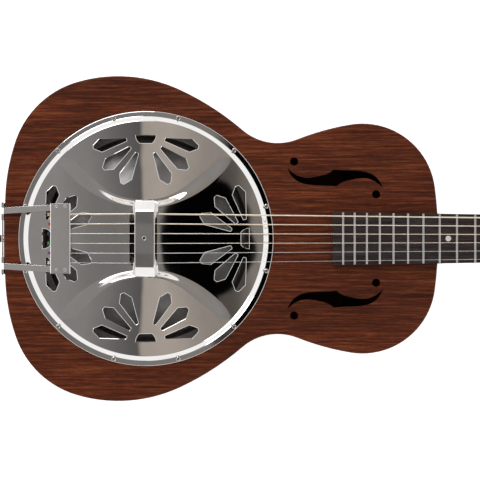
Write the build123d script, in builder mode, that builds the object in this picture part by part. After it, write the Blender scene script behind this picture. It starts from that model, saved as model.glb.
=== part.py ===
from build123d import *
from math import cos, radians, sin, sqrt, tan
import os

os.makedirs("parts", exist_ok=True)

# Resonator guitar lying on its back. X runs from the tail to the headstock, Y to the bass side
# and Z up to the strings. The origin is on the floor, below the middle of the guitar.

# Driving dimensions, millimetres
SCALE_LENGTH = 635.0
COVER_X = -330.8          # middle of the coverplate, cone and saddle
TAIL_X = COVER_X - 155.3  # tail end of the body
JOINT_X = COVER_X + 321.0  # twelfth fret, where the neck meets the body
BODY_DEPTH = 86.0
TOP_T = 3.5
BACK_T = 3.0
SIDE_T = 2.3
LINING_T = 5.7
LINING_H = 12.0

# Tangent arcs of half the body's plan from the tail: radius and turn, negative at the waist
BODY_ARCS = [(1120, 2.4), (213, 16.7), (101, 54.6), (161, 41.2), (296, 15.8)]
BODY_ARCS += [(-59, 62.3), (284, 12.2), (80, 92.0)]

NECK_TILT = 1.0
BOARD_T = 6.5
BOARD_START = -117.0      # end of the fretboard over the body, along the neck from the joint
BOARD_WIDTH = 57.8
NUT_WIDTH = 45.0
NUT_AT = SCALE_LENGTH / 2
NUT_T = 5.0
FRETS = 19
FRET_H = 1.1

HEAD_TILT = 15.0
HEAD_LENGTH = 190.0
HEAD_T = 13.5
OVERLAY_T = 1.5

COVER_R = 139.7
SCREW_R = 136.5
RIM_TOP = 91.0            # top of the coverplate's step
CROWN = 95.2              # middle of the coverplate's low dome
LOBE_TOP = 101.3          # crest of the swellings beside the strings, LOBE_R from the middle
LOBE_MID = 96.9
LOBE_R = 38.0
COVER_T = 1.2
CONE_SEAT = 53.0
CONE_TOP = 83.0
BISCUIT_TOP = 92.0

STRING_RADII = [0.71, 0.53, 0.41, 0.31, 0.22, 0.17]
TAIL_SPREAD = 52.7
SADDLE_SPREAD = 54.0
NUT_SPREAD = 38.7
SADDLE_Z = 103.3          # underside of the strings at the saddle
NUT_Z = 7.9               # underside of the strings above the neck plane at the nut
BALL_R = 2.1
BALL_X = COVER_X - 103.3 - BALL_R
BALL_Z = 97.0

POST_STATIONS = [45.0, 88.0, 131.0]
POST_Y = 21.0
POST_R = 3.0
WAIST_R = 2.7
POST_STRING_Z = 10.5
WORM_PITCH = 2.0
GEAR_TEETH = 18
GEAR_PITCH_R = GEAR_TEETH * WORM_PITCH / 6.2832
WORM_R = 2.4
WORM_ECC = 0.5
WORM_GAP = GEAR_PITCH_R + 2.7   # worm axis to post axis
WORM_Z = -18.0                  # worm axis below the headstock's face
WORM_LENGTH = 8.0
BUTTON_AT = 27.5                # middle of the button from the middle of the worm

# Neck and headstock planes: x along the part, z out of the playing face
NECK_X = (cos(radians(NECK_TILT)), 0, -sin(radians(NECK_TILT)))
NECK_Z = (sin(radians(NECK_TILT)), 0, cos(radians(NECK_TILT)))
NECK = Plane(origin=(JOINT_X, 0, BODY_DEPTH), x_dir=NECK_X, z_dir=NECK_Z)
HEAD_X = (cos(radians(HEAD_TILT)), 0, -sin(radians(HEAD_TILT)))
HEAD_Z = (sin(radians(HEAD_TILT)), 0, cos(radians(HEAD_TILT)))
HEAD = Plane(origin=NECK.from_local_coords((NUT_AT + NUT_T, 0, 0)), x_dir=HEAD_X, z_dir=HEAD_Z)
NECK_SIDE = Plane(origin=NECK.origin, x_dir=NECK_X, z_dir=(0, -1, 0))
HEAD_SIDE = Plane(origin=HEAD.origin, x_dir=HEAD_X, z_dir=(0, -1, 0))

STANDING = (Align.CENTER, Align.CENTER, Align.MIN)
HANGING = (Align.CENTER, Align.CENTER, Align.MAX)
FORWARD = (Align.MIN, Align.CENTER, Align.MIN)


def save(part, label):
    """Name one finished piece and write it out."""
    part.label = label
    export_step(part, f"parts/{label}.step")


def body_plan(inset=0.0):
    """Plan of the body, drawn in from its edge by inset."""
    with BuildSketch() as plan:
        with BuildLine():
            start = Vector(TAIL_X, 0)
            heading = Vector(0, 1)
            left = 180.0
            for radius, turn in BODY_ARCS:
                signed = turn if radius < 0 else -turn
                arc = JernArc(start, heading, abs(radius), signed)
                start = arc @ 1
                heading = arc % 1
                left += signed
            JernArc(start, heading, start.Y / heading.X, -left)
            mirror(about=Plane.XZ)
        make_face()
        if inset:
            offset(amount=-inset)
    return plan.sketch


def board_width(x):
    """Width of the fretboard at x along the neck."""
    taper = (BOARD_WIDTH - NUT_WIDTH) / (NUT_AT - BOARD_START)
    return BOARD_WIDTH - (x - BOARD_START) * taper


def fret_at(n):
    """Place of fret n along the neck from the joint."""
    return SCALE_LENGTH * 2 ** (-n / 12) - SCALE_LENGTH / 2


def spread(width, i):
    """Y of string i where the outer strings stand width apart; string 0 is the bass E."""
    return width * (0.5 - i / 5)


# The body's plan at three depths of wall
OUTLINE = body_plan()
INNER = body_plan(SIDE_T)
CLEAR = body_plan(SIDE_T + LINING_T)
INSIDE_H = BODY_DEPTH - TOP_T - BACK_T

# ---------------------------------------------------------------- body

F_HOLE_X = COVER_X + 207.1
F_HOLE_Y = 66.4
WELL_HOLE_R = 124.0
WELL_R = 121.5
WELL_FLANGE_R = 143.0
TENON_W = 24.0
TENON_DEPTH = 22.0
TENON_Z = 20.0
BRACKET_T = 1.0
BUTTON_Z = 48.0

with BuildSketch() as f_hole:
    with BuildLine() as f_edge:
        Spline((-52.2, 11.3), (-48.8, 3.7), (-42.1, -3.0), (-23.6, -8.0), (1.5, -9.4))
        Spline((1.5, -9.4), (6.5, -5.5), (17, -2.2), (34, -0.5), (45.1, -4.7), (52.2, -11.3))
        add(f_edge.line.rotate(Axis.Z, 180))
    make_face()
    with Locations((-44.9, 18), (44.9, -18)):
        Circle(4.5)

with BuildPart() as soundboard:
    with BuildSketch(Plane.XY.offset(BODY_DEPTH - TOP_T)):
        add(OUTLINE)
        with Locations((COVER_X, 0)):
            Circle(WELL_HOLE_R, mode=Mode.SUBTRACT)
            with PolarLocations(SCREW_R, 12, start_angle=15):
                Circle(1.4, mode=Mode.SUBTRACT)
        add(f_hole.sketch.moved(Location((F_HOLE_X, F_HOLE_Y))), mode=Mode.SUBTRACT)
        add(f_hole.sketch.mirror(Plane.XZ).moved(Location((F_HOLE_X, -F_HOLE_Y))), mode=Mode.SUBTRACT)
    extrude(amount=TOP_T)
    rim = soundboard.faces().sort_by(Axis.Z)[-1].outer_wire().edges()
    fillet(rim, 1.5)
save(soundboard.part, "soundboard")

with BuildPart() as back_panel:
    with BuildSketch():
        add(OUTLINE)
    extrude(amount=BACK_T)
    fillet(back_panel.faces().sort_by(Axis.Z)[0].edges(), 1.5)
save(back_panel.part, "back_panel")

for side_label, side_keep in (("bass_side", Keep.BOTTOM), ("treble_side", Keep.TOP)):
    with BuildPart() as side:
        with BuildSketch(Plane.XY.offset(BACK_T)):
            add(OUTLINE)
            add(INNER, mode=Mode.SUBTRACT)
        extrude(amount=INSIDE_H)
        with Locations((JOINT_X, 0, TENON_Z)):
            Box(30, TENON_W, 100, align=STANDING, mode=Mode.SUBTRACT)
        with Locations((TAIL_X, 0, BUTTON_Z)):
            Cylinder(2.0, 20, rotation=(0, 90, 0), mode=Mode.SUBTRACT)
        with Locations((TAIL_X, 20, 58), (TAIL_X, -20, 58), (TAIL_X, 0, 70)):
            Cylinder(1.4, 20, rotation=(0, 90, 0), mode=Mode.SUBTRACT)
        split(bisect_by=Plane.XZ, keep=side_keep)
    save(side.part, side_label)

with BuildPart() as neck_block:
    with BuildSketch(Plane.XY.offset(BACK_T)):
        with Locations((JOINT_X - 27, 0)):
            Rectangle(54, 84)
        add(INNER, mode=Mode.INTERSECT)
    extrude(amount=INSIDE_H)
    with Locations((JOINT_X - TENON_DEPTH, 0, TENON_Z)):
        Box(40, TENON_W, 100, align=FORWARD, mode=Mode.SUBTRACT)
save(neck_block.part, "neck_block")

with BuildPart() as tail_block:
    with BuildSketch(Plane.XY.offset(BACK_T)):
        with Locations((TAIL_X + 11, 0)):
            Rectangle(22, 76)
        add(INNER, mode=Mode.INTERSECT)
    extrude(amount=INSIDE_H)
    with Locations((COVER_X, 0, 44)):
        Cylinder(WELL_FLANGE_R, 50, align=STANDING, mode=Mode.SUBTRACT)
    with Locations((TAIL_X, 0, BUTTON_Z)):
        Cylinder(2.0, 32, rotation=(0, 90, 0), mode=Mode.SUBTRACT)
    with Locations((TAIL_X, 20, 58), (TAIL_X, -20, 58), (TAIL_X, 0, 70)):
        Cylinder(1.4, 20, rotation=(0, 90, 0), mode=Mode.SUBTRACT)
save(tail_block.part, "tail_block")

# The soundwell carries the cone on its ledge and hangs under the soundboard
with BuildPart() as soundwell:
    with BuildSketch(Plane.XZ):
        with BuildLine():
            Polyline((112, 45), (131, 45), (131, 70), (WELL_FLANGE_R, 70), (WELL_FLANGE_R, 82.5),
                     (WELL_R, 82.5), (WELL_R, CONE_SEAT), (112, CONE_SEAT), close=True)
        make_face()
    revolve(axis=Axis.Z)
    with PolarLocations(126, 8, start_angle=22.5):
        with Locations((0, 0, 61.5)):
            Cylinder(6.5, 30, rotation=(0, 90, 0), mode=Mode.SUBTRACT)
    with Locations((0, 0, 75.2)):
        with PolarLocations(SCREW_R, 12, start_angle=15):
            Cylinder(1.4, 10, align=STANDING, mode=Mode.SUBTRACT)
save(soundwell.part.moved(Location((COVER_X, 0, 0))), "soundwell")

BRACE_X = [COVER_X - 95, COVER_X + 20, COVER_X + 125, COVER_X + 225]
with BuildPart() as braces:
    with Locations(*[(x, 0, BACK_T) for x in BRACE_X]):
        Box(10, 400, 16, align=STANDING)
    with Locations((COVER_X + 149, 0, BODY_DEPTH - TOP_T)):
        Box(8, 400, 14, align=HANGING)
    with BuildSketch(Plane.XY.offset(BACK_T)):
        add(CLEAR)
    extrude(amount=INSIDE_H, mode=Mode.INTERSECT)
    with BuildSketch(Plane.XY.offset(BACK_T), Plane.XY.offset(BODY_DEPTH - TOP_T - LINING_H)):
        add(INNER)
        add(CLEAR, mode=Mode.SUBTRACT)
        with Locations((JOINT_X - 27, 0), (TAIL_X + 1, 0)):
            Rectangle(54, 84, mode=Mode.SUBTRACT)
        with Locations((COVER_X, 0)):
            Circle(WELL_FLANGE_R, mode=Mode.SUBTRACT)
    extrude(amount=LINING_H)
save(braces.part, "braces_and_linings")

# ---------------------------------------------------------------- resonator

with BuildPart() as cone:
    with BuildSketch(Plane.XZ):
        with BuildLine():
            Polyline((2.0, 82.2), (25.1, 82.2), (27.4, 80.1), (108.6, 56.0), (113, 53), (120.5, 53),
                     (120.5, 53.8), (113.6, 53.8), (109, 56.8), (28, 80.8), (25.5, CONE_TOP),
                     (2.0, CONE_TOP), close=True)
        make_face()
    revolve(axis=Axis.Z)
save(cone.part.moved(Location((COVER_X, 0, 0))), "resonator_cone")

SADDLE_T = 3.2
SLOT_Z = 89.0
with BuildPart(Plane.XY.move(Location((COVER_X, 0, 0)))) as biscuit:
    with Locations((0, 0, CONE_TOP)):
        Cylinder(25, BISCUIT_TOP - CONE_TOP, align=STANDING)
        fillet(biscuit.edges().sort_by(Axis.Z)[-1], 0.8)
    with Locations((0, 0, SLOT_Z)):
        Box(SADDLE_T, 60, 10, align=STANDING, mode=Mode.SUBTRACT)
    with Locations((0, 0, CONE_TOP)):
        Cylinder(2.0, 11, mode=Mode.SUBTRACT)
save(biscuit.part, "biscuit")

with BuildPart(Plane.XY.move(Location((COVER_X, 0, 0)))) as biscuit_screw:
    with Locations((0, 0, 82.2)):
        Cylinder(2.0, 6.3, align=STANDING)
        Cylinder(4.2, 2.4, align=HANGING)
    fillet(biscuit_screw.edges().sort_by(Axis.Z)[0], 1.2)
save(biscuit_screw.part, "biscuit_screw")


# ---------------------------------------------------------------- strings

def string_path(i):
    """Corners of string i: ball, saddle, nut and the side of its post."""
    radius = STRING_RADII[i]
    side = 1 if i < 3 else -1
    station = POST_STATIONS[i] if i < 3 else POST_STATIONS[5 - i]
    beside = side * (POST_Y - WAIST_R - radius - 0.1)
    return [
        (BALL_X, spread(TAIL_SPREAD, i), BALL_Z),
        (COVER_X, spread(SADDLE_SPREAD, i), SADDLE_Z + radius),
        NECK.from_local_coords((NUT_AT, spread(NUT_SPREAD, i), NUT_Z + radius)),
        HEAD.from_local_coords((station, beside, POST_STRING_Z)),
    ]


def string_run(i, radius, ball):
    """String i as a round wire of the given radius, with its ball end or without."""
    with BuildPart() as run:
        with BuildLine():
            path = Polyline(*string_path(i))
        with BuildSketch(Plane(origin=path @ 0, z_dir=path % 0)):
            Circle(radius)
        sweep(transition=Transition.RIGHT)
        if ball:
            with Locations(string_path(i)[0]):
                Cylinder(BALL_R, 3.4, rotation=(90, 0, 0))
    return run.part


strings = [string_run(i, STRING_RADII[i], True) for i in range(6)]
grooves = [string_run(i, STRING_RADII[i] + 0.03, False) for i in range(6)]
for number, string in enumerate(strings, 1):
    save(string, f"string_{number}")

with BuildPart() as saddle:
    with Locations((COVER_X, 0, SLOT_Z)):
        Box(SADDLE_T, 60, SADDLE_Z + 0.25 - SLOT_Z, align=STANDING)
    chamfer(saddle.edges().filter_by(Axis.Z), 0.6)
    add(grooves, mode=Mode.SUBTRACT)
save(saddle.part, "saddle")


# ---------------------------------------------------------------- coverplate

def cover_solid(drop, draw):
    """Everything under one face of the coverplate; drop lowers it, draw brings its walls in."""
    with BuildPart() as dome:
        with BuildSketch(Plane.XZ):
            with BuildLine():
                step = Polyline((0, 80), (139.7 - 7 * draw, 80), (139.7 - 7 * draw, 87.2 - drop),
                                (134 - draw, 87.2 - drop), (128.6 - draw, RIM_TOP - drop))
                crown = ThreePointArc(step @ 1, (66, 94.2 - drop), (0, CROWN - drop))
                Line(crown @ 1, step @ 0)
            make_face()
        revolve(axis=Axis.Z)
    lobes = [cover_lobe(side, drop, draw) for side in (1, -1)]
    return dome.part + lobes[0] + lobes[1]


def cover_lobe(side, drop, draw):
    """One swelling of the coverplate beside the strings: a raised dome with a round inner wall."""
    with BuildPart() as lobe:
        with BuildSketch(Plane.XZ):
            with BuildLine():
                crest = Polyline((0, 84), (128.6 - draw, 84), (128.6 - draw, RIM_TOP - drop))
                slope = ThreePointArc(crest @ 1, (84, LOBE_MID - drop), (LOBE_R, LOBE_TOP - drop))
                Polyline(slope @ 1, (0, LOBE_TOP + 3 - drop), crest @ 0)
            make_face()
        revolve(axis=Axis.Z)
        with Locations((0, side * 147, 84)):
            Cone(113 - draw, 105 - draw, 20, align=STANDING, mode=Mode.INTERSECT)
    return lobe.part


PETAL_STEP = 180 / 7
FAN_R = 112.9
with BuildSketch() as petal:
    Polygon((21.5, -1.6), (50.5, -7.3), (58.8, -1.8), (58.8, 1.8), (50.5, 7.3), (21.5, 1.6), align=None)
    fillet(petal.vertices(), 0.8)

with BuildSketch() as fan:
    with Locations(*[Location((0, 0, 0), (0, 0, k * PETAL_STEP)) for k in (-3, -2, -1, 1, 2, 3)]):
        add(petal.sketch)
    with BuildSketch(mode=Mode.PRIVATE) as moon:
        Circle(11.1)
        with Locations((4.4, 0)):
            Rectangle(8.8, 30, mode=Mode.INTERSECT)
    add(moon.sketch)

cover_outer = cover_solid(0, 0)
cover_inner = cover_solid(COVER_T, 1.3)
with BuildPart() as coverplate:
    add(cover_outer)
    with Locations((0, 0, 79)):
        Box(400, 400, 7, align=STANDING, mode=Mode.SUBTRACT)
    add(cover_inner, mode=Mode.SUBTRACT)
    with BuildSketch(Plane.XY.offset(80)):
        for quarter in range(4):
            turn = Location((0, 0, 0), (0, 0, 90 * quarter))
            add(fan.sketch.moved(turn * Location((FAN_R, 0, 0), (0, 0, 180))))
        with Locations((-2.7, 0)):
            RectangleRounded(30, 66, 10)
        with PolarLocations(SCREW_R, 12, start_angle=15):
            Circle(1.5)
    extrude(amount=40, mode=Mode.SUBTRACT)
save(coverplate.part.moved(Location((COVER_X, 0, 0))), "coverplate")

REST_X = COVER_X - 0.5
with BuildPart() as hand_rest:
    for depth, reach in ((1.6, 23.0), (5.0, 1.6)):
        for shift in ((0,) if reach > 2 else (-11.7, 11.7)):
            with BuildSketch(Plane.YZ.offset(REST_X + shift)):
                with BuildLine():
                    FilletPolyline((-43, 99), (-41.2, 102.6), (-33.2, 109.6), (-21, 113), (0, 113.8),
                                   (21, 113), (33.2, 109.6), (41.2, 102.6), (43, 99), radius=3)
                    offset(amount=depth, side=Side.RIGHT)
                make_face()
            extrude(amount=reach / 2, both=True)
    add(cover_outer.moved(Location((COVER_X, 0, 0))), mode=Mode.SUBTRACT)
    with Locations((REST_X, 0, 110)):
        Cylinder(2.0, 20, mode=Mode.SUBTRACT)
save(hand_rest.part, "hand_rest")

# ---------------------------------------------------------------- tailpiece

PLATE_TOP = 100.6
HALF_PLATE = 38.3
PIN_X = TAIL_X - 2.1
PIN_Z = 83.6
PIN_R = 0.9
KNUCKLE_R = 1.9
ARM_T = 1.4

with BuildPart() as arm:
    with BuildSketch(Plane.XZ):
        with BuildLine():
            FilletPolyline((COVER_X - 84, 99.6), (COVER_X - 104, 99.6), (PIN_X + 1.4, 89.2),
                           (PIN_X - KNUCKLE_R, 84.6), radius=2.0)
            offset(amount=ARM_T, side=Side.LEFT)
        make_face()
        with Locations((PIN_X, PIN_Z)):
            Circle(KNUCKLE_R)
            Circle(PIN_R + 0.02, mode=Mode.SUBTRACT)
    extrude(amount=60, both=True)
    with BuildSketch():
        Polygon((COVER_X - 84, 31.2), (COVER_X - 84, 38.0), (TAIL_X + 1, 33.7), (TAIL_X - 8, 33.7),
                (TAIL_X - 8, 26.9), (TAIL_X + 1, 26.9), align=None)
    extrude(amount=200, mode=Mode.INTERSECT)

with BuildPart() as tailpiece:
    with BuildSketch(Plane.XZ):
        with BuildLine():
            Polyline((COVER_X - 103.3, 95.4), (COVER_X - 103.3, PLATE_TOP), (COVER_X - 81.9, PLATE_TOP),
                     (COVER_X - 81.9, 94.8))
            offset(amount=1.0, side=Side.RIGHT)
        make_face()
    extrude(amount=HALF_PLATE, both=True)
    add(arm.part)
    add(arm.part.mirror(Plane.XZ))
    add(grooves, mode=Mode.SUBTRACT)
save(tailpiece.part, "tailpiece")

with BuildPart() as tail_hinge:
    with Locations((TAIL_X - BRACKET_T / 2, 0, 42)):
        Box(BRACKET_T, 78, PIN_Z - 42, align=STANDING)
    with BuildSketch(Plane.XZ):
        with Locations((PIN_X, PIN_Z)):
            Circle(KNUCKLE_R)
    extrude(amount=39, both=True)
    with Locations((PIN_X, 30.3, PIN_Z + 1), (PIN_X, -30.3, PIN_Z + 1)):
        Box(8, 7.2, 7.6, mode=Mode.SUBTRACT)
    with Locations((PIN_X, 0, PIN_Z + 1)):
        Box(8, 40, 7.6, mode=Mode.SUBTRACT)
    with Locations((PIN_X, 0, PIN_Z)):
        Cylinder(PIN_R, 80, rotation=(90, 0, 0))
    with Locations((TAIL_X, 0, BUTTON_Z)):
        Cylinder(2.0, 9, rotation=(0, 90, 0), mode=Mode.SUBTRACT)
    with Locations((TAIL_X, 20, 58), (TAIL_X, -20, 58), (TAIL_X, 0, 70)):
        Cylinder(1.4, 9, rotation=(0, 90, 0), mode=Mode.SUBTRACT)
save(tail_hinge.part, "tailpiece_hinge")

with BuildPart() as strap_button:
    with BuildSketch(Plane(origin=(TAIL_X - BRACKET_T, 0, BUTTON_Z), z_dir=(0, -1, 0), x_dir=(1, 0, 0))):
        with BuildLine():
            waist = Polyline((12, 0), (12, 2.0), (0, 2.0), (0, 6.5), (-1.2, 6.5))
            Spline(waist @ 1, (-4.0, 3.9), (-7.2, 6.3), tangents=((0, -1), (0, 1)))
            Polyline((-7.2, 6.3), (-8.4, 7.0), (-9.4, 6.2), (-9.4, 0), (12, 0))
        make_face()
    revolve(axis=Axis((TAIL_X, 0, BUTTON_Z), (1, 0, 0)))
save(strap_button.part, "strap_button")

with BuildPart() as body_screws:
    with Locations((COVER_X, 0, BODY_DEPTH + COVER_T)):
        with PolarLocations(SCREW_R, 12, start_angle=15):
            Cylinder(1.4, 12, align=HANGING)
            Cylinder(2.4, 1.5, align=STANDING)
    tips = body_screws.edges().group_by(Axis.Z)[-1]
    fillet(tips, 0.9)
    with Locations((TAIL_X - BRACKET_T, 20, 58), (TAIL_X - BRACKET_T, -20, 58), (TAIL_X - BRACKET_T, 0, 70)):
        Cylinder(1.4, 10, rotation=(0, 90, 0), align=STANDING)
        Cylinder(2.6, 1.4, rotation=(0, -90, 0), align=STANDING)
save(body_screws.part, "body_screws")

# ---------------------------------------------------------------- neck

ROD_Z = -9.5
ROD_R = 2.5
ROD_START = 10.0
ROD_END = NUT_AT + NUT_T + 20
ROD_NUT_AT = NUT_AT + NUT_T + 9
ROD_NUT_T = 10.0
HEEL = [(84, 62, 27.4), (68, 42, 25), (44, 27, 19), (10, 20, 14)]


def head_plan():
    """Outline of the headstock on its face."""
    with BuildSketch() as plan:
        with BuildLine():
            flare = Spline((0, NUT_WIDTH / 2), (12, 23.4), (34, 32.0), tangents=((1, 0), (1, 0)))
            flank = Line(flare @ 1, (176, 37.5))
            Spline(flank @ 1, (184, 33), (185, 17), (HEAD_LENGTH, 0), tangents=((0.6, 0.8), (0, -1)))
            Line((0, 0), flare @ 0)
            mirror(about=Plane.XZ)
        make_face()
    return plan.sketch


def across_neck(x, z):
    """Plane across the neck at x along it and z above its face."""
    return Plane(origin=NECK.from_local_coords((x, 0, z)), x_dir=(0, 1, 0), z_dir=NECK_X)


def on_head(x, y, z):
    """Point given along, across and above the headstock's face."""
    return HEAD.from_local_coords((x, y, z))


HEAD_PLAN = head_plan()
POSTS = [(x, side * POST_Y) for side in (1, -1) for x in POST_STATIONS]
PLATE_X = 84.0
PLATE_SPAN = (118.0, 20.0)
PLATE_Y = 22.0
PLATE_T = 1.2
BACK_Z = -HEAD_T - PLATE_T
PLATE_SCREWS = [(x, side * y) for side in (1, -1) for x, y in ((29, 15), (29, 29), (139, 15), (139, 29))]
COVER_SCREWS = [(9, 0), (34, 6), (34, -6)]
COVER_PLATE_T = 2.0
DOT_R = 3.1
DOT_AT = (fret_at(11) + fret_at(12)) / 2

with BuildPart() as neck:
    for x, depth in ((-2, 22.0), (NUT_AT + NUT_T + 12, 19.0)):
        with BuildSketch(across_neck(x, 0)):
            Ellipse(board_width(x) / 2, depth)
            Rectangle(80, 80, align=(Align.CENTER, Align.MIN), mode=Mode.SUBTRACT)
    loft()
    for z, reach, half in HEEL:
        with BuildSketch(Plane.XY.offset(z)):
            with Locations((JOINT_X - 2, 0)):
                Ellipse(reach, half)
    loft()
    with BuildSketch():
        add(OUTLINE)
    extrude(amount=BODY_DEPTH + 3, mode=Mode.SUBTRACT)
    with BuildSketch(HEAD):
        Rectangle(80, 80, align=(Align.MIN, Align.CENTER))
    extrude(amount=20, mode=Mode.SUBTRACT)
    with BuildSketch(HEAD):
        add(HEAD_PLAN)
    extrude(amount=-HEAD_T)
    with Locations((JOINT_X - TENON_DEPTH, 0, TENON_Z)):
        Box(TENON_DEPTH + 3, TENON_W, BODY_DEPTH - TOP_T - TENON_Z, align=FORWARD)
    with BuildSketch(across_neck(ROD_START, ROD_Z)):
        Circle(ROD_R)
    extrude(amount=ROD_END + 2 - ROD_START, mode=Mode.SUBTRACT)
    with BuildSketch(NECK.offset(ROD_Z - 5.5)):
        with Locations((ROD_NUT_AT - 0.05, 0)):
            Rectangle(19, 11, align=(Align.MIN, Align.CENTER))
    extrude(amount=20, mode=Mode.SUBTRACT)
    with BuildSketch(HEAD.offset(-HEAD_T)):
        with Locations(*POSTS):
            Circle(3.4)
    extrude(amount=HEAD_T, mode=Mode.SUBTRACT)
    with BuildSketch(HEAD.offset(-8)):
        with Locations(*POSTS):
            Circle(4.0)
    extrude(amount=10, mode=Mode.SUBTRACT)
    with BuildSketch(HEAD.offset(-HEAD_T)):
        with Locations(*PLATE_SCREWS):
            Circle(0.9)
    extrude(amount=7, mode=Mode.SUBTRACT)
    with BuildSketch(HEAD):
        with Locations(*COVER_SCREWS):
            Circle(0.8)
    extrude(amount=-4, mode=Mode.SUBTRACT)
save(neck.part, "neck")

with BuildPart() as headstock_overlay:
    with BuildSketch(HEAD):
        add(HEAD_PLAN)
        with Locations(*POSTS):
            Circle(4.0, mode=Mode.SUBTRACT)
        with Locations(*COVER_SCREWS):
            Circle(0.8, mode=Mode.SUBTRACT)
        with Locations((12, 0)):
            Rectangle(16, 11, align=(Align.MIN, Align.CENTER), mode=Mode.SUBTRACT)
    extrude(amount=OVERLAY_T)
save(headstock_overlay.part, "headstock_overlay")

with BuildPart() as truss_rod:
    with BuildSketch(across_neck(ROD_START, ROD_Z)):
        Circle(ROD_R)
    extrude(amount=ROD_END - ROD_START)
save(truss_rod.part, "truss_rod")

with BuildPart() as truss_rod_nut:
    with BuildSketch(across_neck(ROD_NUT_AT, ROD_Z)):
        RegularPolygon(radius=4.4, side_count=6)
        Circle(ROD_R + 0.05, mode=Mode.SUBTRACT)
    extrude(amount=ROD_NUT_T)
save(truss_rod_nut.part, "truss_rod_nut")

with BuildPart() as truss_rod_cover:
    with BuildSketch(HEAD.offset(OVERLAY_T)) as cover_plan:
        Polygon((4, 7), (4, -7), (38, -10.5), (38, 10.5), align=None)
        fillet(cover_plan.vertices(), 3)
        with Locations(*COVER_SCREWS):
            Circle(0.8, mode=Mode.SUBTRACT)
    extrude(amount=COVER_PLATE_T)
save(truss_rod_cover.part, "truss_rod_cover")

with BuildPart() as headstock_screws:
    with BuildSketch(HEAD.offset(OVERLAY_T + COVER_PLATE_T)):
        with Locations(*COVER_SCREWS):
            Circle(0.8)
    extrude(amount=-7.5)
    with BuildSketch(HEAD.offset(OVERLAY_T + COVER_PLATE_T)):
        with Locations(*COVER_SCREWS):
            Circle(1.7)
    extrude(amount=0.9)
    with BuildSketch(HEAD.offset(BACK_Z)):
        with Locations(*PLATE_SCREWS):
            Circle(0.9)
    extrude(amount=7)
    with BuildSketch(HEAD.offset(BACK_Z)):
        with Locations(*PLATE_SCREWS):
            Circle(1.8)
    extrude(amount=-1.0)
save(headstock_screws.part, "headstock_screws")

# ---------------------------------------------------------------- fretboard

with BuildPart() as frets:
    for n in range(1, FRETS + 1):
        x = fret_at(n)
        with BuildSketch(NECK_SIDE):
            with BuildLine():
                crown = ThreePointArc((x - 1.2, BOARD_T), (x, BOARD_T + FRET_H), (x + 1.2, BOARD_T))
                Line(crown @ 1, crown @ 0)
            make_face()
        extrude(amount=board_width(x) / 2 - 0.3, both=True)
    with BuildSketch(NECK_SIDE):
        with Locations(*[(fret_at(n), BOARD_T - 0.9) for n in range(1, FRETS + 1)]):
            Rectangle(0.6, 1.8)
    extrude(amount=NUT_WIDTH / 2 - 1, both=True)
save(frets.part, "frets")

with BuildPart() as position_dots:
    with BuildSketch(NECK.offset(BOARD_T - 1.5)):
        with Locations((DOT_AT, 0)):
            Circle(DOT_R)
    extrude(amount=1.5)
save(position_dots.part, "position_dots")

with BuildPart() as fretboard:
    with BuildSketch(NECK_SIDE):
        Polygon((-1.8, 0), (NUT_AT, 0), (NUT_AT, BOARD_T), (BOARD_START, BOARD_T),
                (BOARD_START, BOARD_START * tan(radians(NECK_TILT))), align=None)
    extrude(amount=35, both=True)
    with BuildSketch(NECK.offset(-10)):
        Polygon((BOARD_START, BOARD_WIDTH / 2), (BOARD_START, -BOARD_WIDTH / 2), (NUT_AT, -NUT_WIDTH / 2),
                (NUT_AT, NUT_WIDTH / 2), align=None)
    extrude(amount=30, mode=Mode.INTERSECT)
    add(frets.part, mode=Mode.SUBTRACT)
    add(position_dots.part, mode=Mode.SUBTRACT)
save(fretboard.part, "fretboard")

with BuildPart() as nut:
    with BuildSketch(NECK):
        with Locations((NUT_AT, 0)):
            Rectangle(NUT_T, NUT_WIDTH, align=(Align.MIN, Align.CENTER))
    extrude(amount=NUT_Z + 0.25)
    add(grooves, mode=Mode.SUBTRACT)
save(nut.part, "nut")

# ---------------------------------------------------------------- tuners

LUG_T = 1.6
LUG_AT = 5.0              # middle of each lug from the middle of the worm
SHAFT_R = 1.5
GEAR_T = 3.0

with BuildPart() as tuner_bushings:
    with BuildSketch(HEAD.offset(-8)):
        with Locations(*POSTS):
            Circle(4.0)
            Circle(POST_R + 0.06, mode=Mode.SUBTRACT)
    extrude(amount=8 + OVERLAY_T)
    with BuildSketch(HEAD.offset(OVERLAY_T)):
        with Locations(*POSTS):
            Circle(5.2)
            Circle(POST_R + 0.06, mode=Mode.SUBTRACT)
    extrude(amount=1.2)
save(tuner_bushings.part, "tuner_bushings")

with BuildPart() as tuner_plates:
    with BuildSketch(HEAD.offset(BACK_Z)):
        with Locations((PLATE_X, PLATE_Y), (PLATE_X, -PLATE_Y)):
            RectangleRounded(PLATE_SPAN[0], PLATE_SPAN[1], 5)
        with Locations(*POSTS):
            Circle(POST_R + 0.06, mode=Mode.SUBTRACT)
        with Locations(*PLATE_SCREWS):
            Circle(0.9, mode=Mode.SUBTRACT)
    extrude(amount=PLATE_T)
    with BuildSketch(HEAD.offset(WORM_Z - 2.7)):
        with Locations(*[(x - WORM_GAP, y + s * LUG_AT) for x, y in POSTS for s in (1, -1)]):
            Rectangle(5.4, LUG_T)
    extrude(amount=BACK_Z - WORM_Z + 2.7)
    with BuildSketch(HEAD_SIDE):
        with Locations(*[(x - WORM_GAP, WORM_Z) for x in POST_STATIONS]):
            Circle(SHAFT_R + 0.06)
    extrude(amount=45, both=True, mode=Mode.SUBTRACT)
save(tuner_plates.part, "tuner_plates")

with BuildPart() as worm_blank:
    add(Solid.extrude_linear_with_rotation(
        Wire.make_circle(WORM_R, Plane((WORM_ECC, 0, -WORM_LENGTH / 2))),
        (0, 0, -WORM_LENGTH / 2), (0, 0, WORM_LENGTH), 360 * WORM_LENGTH / WORM_PITCH))

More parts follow.
